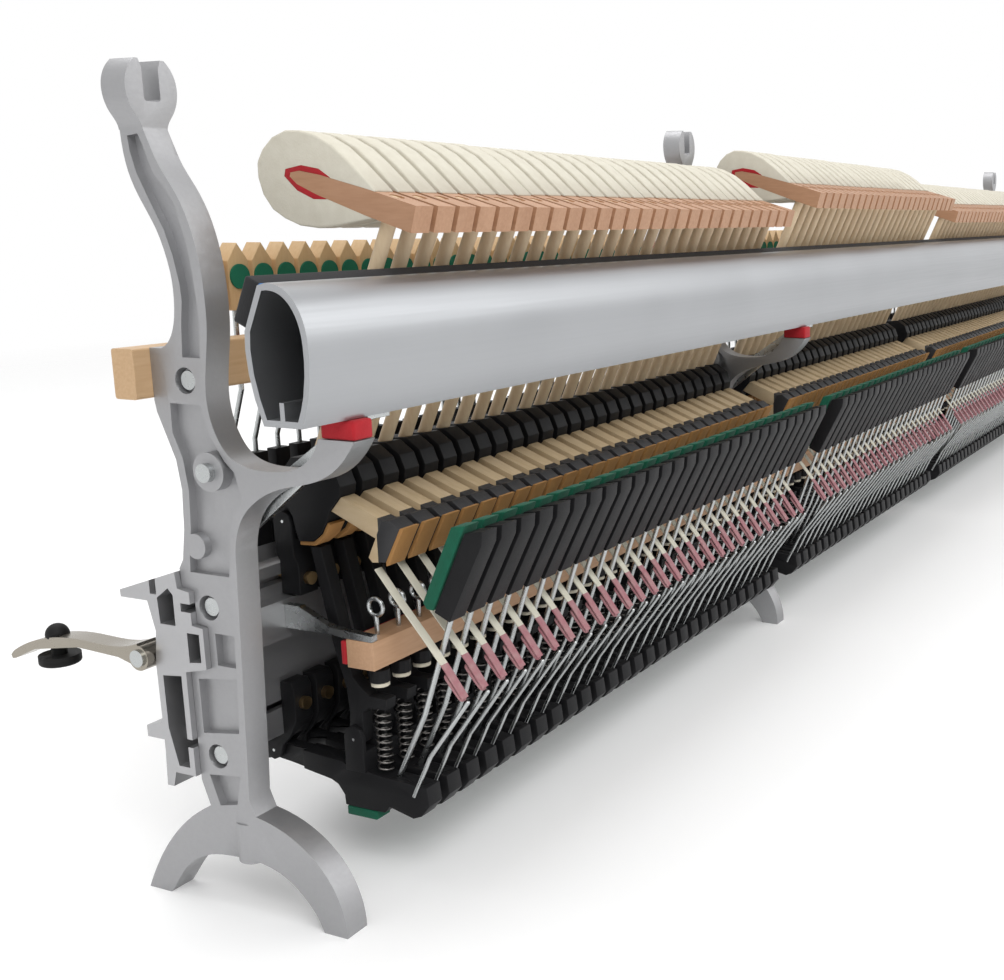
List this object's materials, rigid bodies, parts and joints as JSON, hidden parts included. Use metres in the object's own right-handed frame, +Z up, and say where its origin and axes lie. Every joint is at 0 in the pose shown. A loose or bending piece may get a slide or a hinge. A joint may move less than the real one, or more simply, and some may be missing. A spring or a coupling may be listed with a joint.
{
  "type": "upright piano action",
  "caption": "Upright piano action: hammers, dampers, jacks and wippens on rails between cast brackets, for a piano's case.",
  "frame": {"origin": "on the floor under the middle plane of the bass bracket, at the Y of the string side's datum", "axes": "+X from bass to treble, -Y to the player, +Y to the strings, +Z up"},
  "size_m": [1.3321, 0.2029, 0.3301],
  "materials": {
    "beech": "waxed",
    "black_composite": "satin",
    "black_felt": "felt",
    "bracket_metal": "satin",
    "brass": "bright",
    "green_felt": "felt",
    "hammer_rail_metal": "satin",
    "hornbeam": "waxed",
    "leather": "suede",
    "nickel": "bright",
    "rail_metal": "satin",
    "red_felt": "felt",
    "rubber": "matt",
    "spring_copper": "bright",
    "steel": "bright",
    "strap_fabric": "woven",
    "white_felt": "felt"
  },
  "bodies": {
    "frame": {"bracket_bass": "bracket_metal", "bracket_middle": "bracket_metal", "bracket_treble": "bracket_metal", "main_rail": "rail_metal", "damper_stop_rail": "beech", "rail_felts": "red_felt", "letoff_rail": "beech", "letoff_screws": "steel", "letoff_buttons": "black_composite", "letoff_button_felts": "white_felt", "rail_hangers": "steel", "butt_flanges": "black_composite", "wippen_flanges": "black_composite", "damper_flanges": "black_composite", "flange_screws": "brass", "centre_pins": "steel", "bracket_screws": "steel", "horn_felts": "red_felt"},
    "hammer_rail": {"hammer_rail": "hammer_rail_metal", "hammer_rail_felt": "black_felt", "hammer_rail_arms": "hammer_rail_metal"},
    "damper_rod": {"damper_rod": "steel", "damper_rod_lever": "nickel", "damper_lever_button": "rubber"},
    "wippen_1": {"wippen_1": "black_composite", "wippen_wires_1": "steel", "wippen_felts_1": "green_felt", "backcheck_1": "black_composite", "jack_spring_1": "spring_copper"},
    "jack_1": {"jack_1": "black_composite"},
    "strap_1": {"bridle_strap_1": "strap_fabric"},
    "hammer_1": {"hammer_moulding_1": "hornbeam", "hammer_underfelt_1": "red_felt", "hammer_felt_1": "white_felt", "hammer_shank_1": "hornbeam", "hammer_butt_1": "black_composite", "catcher_1": "beech", "hammer_leathers_1": "leather"},
    "damper_1": {"damper_lever_1": "black_composite", "damper_wire_1": "steel", "damper_head_1": "beech", "damper_felt_1": "white_felt"},
    "wippens": {"wippens": "black_composite", "wippen_wires": "steel", "wippen_felts": "green_felt", "backchecks": "black_composite", "jack_springs": "spring_copper"},
    "jacks": {"jacks": "black_composite"},
    "straps": {"bridle_straps": "strap_fabric"},
    "hammers": {"hammer_mouldings": "hornbeam", "hammer_underfelts": "red_felt", "hammer_felts": "white_felt", "hammer_shanks": "hornbeam", "hammer_butts": "black_composite", "catchers": "beech", "hammer_leathers": "leather"},
    "dampers": {"damper_levers": "black_composite", "damper_wires": "steel", "damper_heads": "beech", "damper_felts": "white_felt"}
  },
  "joints": [
    {"name": "hammer_rail_swing", "type": "hinge", "parent": "frame", "child": "hammer_rail", "pos_m": [0, -0.018, 0.151], "axis": [-1, 0, 0], "range_deg": [0, 6]},
    {"name": "damper_rod_turn", "type": "hinge", "parent": "frame", "child": "damper_rod", "pos_m": [0, 0.0115, 0.104], "axis": [1, 0, 0], "range_deg": [0, 14]},
    {"name": "wippen_1_lift", "type": "hinge", "parent": "frame", "child": "wippen_1", "pos_m": [0.0442, -0.003, 0.0476], "axis": [-1, 0, 0], "range_deg": [0, 6.3]},
    {"name": "jack_1_trip", "type": "hinge", "parent": "wippen_1", "child": "jack_1", "pos_m": [0.0442, -0.0475, 0.0597], "axis": [-1, 0, 0], "range_deg": [-12.6, 0], "deforming": ["jack_spring_1"]},
    {"name": "strap_1_swing", "type": "hinge", "parent": "wippen_1", "child": "strap_1", "pos_m": [0.0404, -0.106, 0.0846], "axis": [1, 0, 0], "range_deg": [0, 12]},
    {"name": "hammer_1_swing", "type": "hinge", "parent": "hammer_rail", "child": "hammer_1", "pos_m": [0.0442, -0.018, 0.151], "axis": [-1, 0, 0], "range_deg": [0, 19.5]},
    {"name": "damper_1_lift", "type": "hinge", "parent": "frame", "child": "damper_1", "pos_m": [0.0442, 0.0255, 0.143], "axis": [1, 0, 0], "range_deg": [0, 4], "stiffness_Nm_per_rad": 0.02, "springref_deg": -5.73},
    {"name": "wippens_lift", "type": "hinge", "parent": "frame", "child": "wippens", "pos_m": [0.0442, -0.003, 0.0476], "axis": [-1, 0, 0], "range_deg": [0, 6.3]},
    {"name": "jacks_trip", "type": "hinge", "parent": "wippens", "child": "jacks", "pos_m": [0.0442, -0.0475, 0.0597], "axis": [-1, 0, 0], "range_deg": [-12.6, 0], "deforming": ["jack_springs"]},
    {"name": "straps_swing", "type": "hinge", "parent": "wippens", "child": "straps", "pos_m": [0.0404, -0.106, 0.0846], "axis": [1, 0, 0], "range_deg": [0, 12]},
    {"name": "hammers_swing", "type": "hinge", "parent": "hammer_rail", "child": "hammers", "pos_m": [0.0442, -0.018, 0.151], "axis": [-1, 0, 0], "range_deg": [0, 19.5]},
    {"name": "dampers_lift", "type": "hinge", "parent": "frame", "child": "dampers", "pos_m": [0.0442, 0.0255, 0.143], "axis": [1, 0, 0], "range_deg": [0, 4], "stiffness_Nm_per_rad": 0.3, "springref_deg": -5.73}
  ],
  "couplings": [
    {"joint": "jack_1_trip", "follows": "wippen_1_lift", "ratio": -2},
    {"joint": "strap_1_swing", "follows": "wippen_1_lift", "ratio": 1.9048},
    {"joint": "hammer_1_swing", "follows": "wippen_1_lift", "ratio": 3.095},
    {"joint": "damper_1_lift", "follows": "wippen_1_lift", "ratio": 0.634},
    {"joint": "jacks_trip", "follows": "wippens_lift", "ratio": -2},
    {"joint": "straps_swing", "follows": "wippens_lift", "ratio": 1.9048},
    {"joint": "hammers_swing", "follows": "wippens_lift", "ratio": 3.095},
    {"joint": "dampers_lift", "follows": "damper_rod_turn", "ratio": 0.2857}
  ]
}
